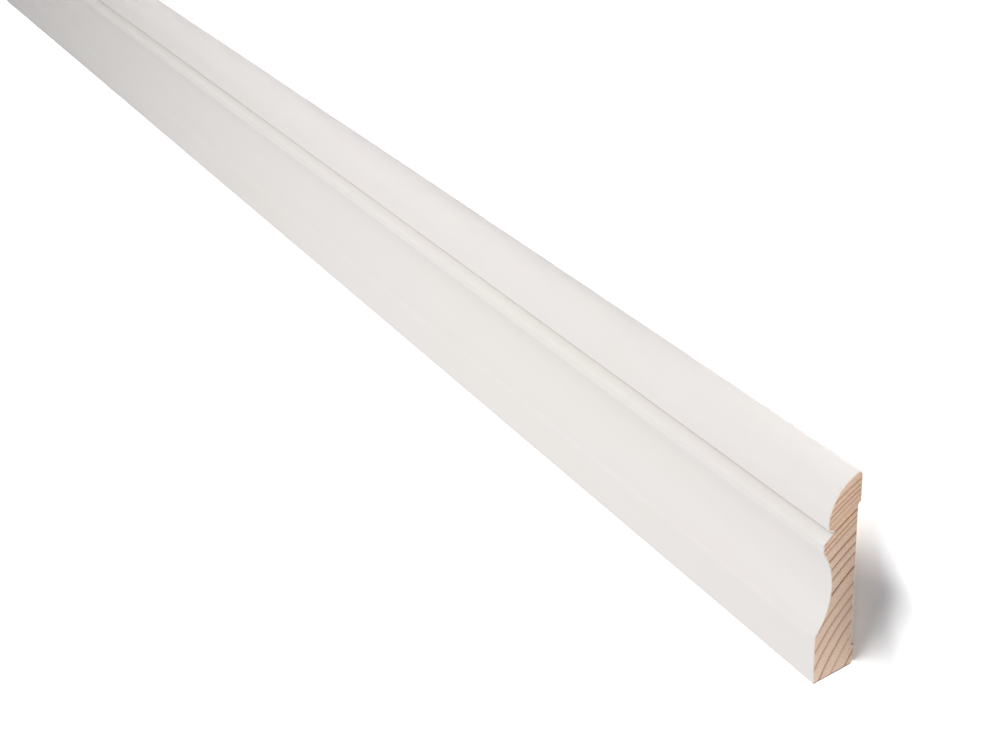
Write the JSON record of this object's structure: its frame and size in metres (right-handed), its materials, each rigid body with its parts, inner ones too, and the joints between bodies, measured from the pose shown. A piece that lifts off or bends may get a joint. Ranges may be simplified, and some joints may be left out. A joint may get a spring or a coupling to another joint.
{
  "type": "skirting board length",
  "caption": "Straight length of painted softwood skirting board with a flat plinth, a long hollow, a bead, a sharp quirk and a round top member; its back is hollowed between lands.",
  "frame": {"origin": "middle of the length and of the width, in the plane that the two back lands lie in", "axes": "+X along the length, +Y across the face towards the moulded top edge, +Z out of the moulded face"},
  "size_m": [2.4, 0.069, 0.015],
  "materials": {
    "painted_softwood": "satin paint, with bare softwood on the sawn ends"
  },
  "bodies": {
    "root": {"skirting_board": "painted_softwood"}
  },
  "joints": []
}
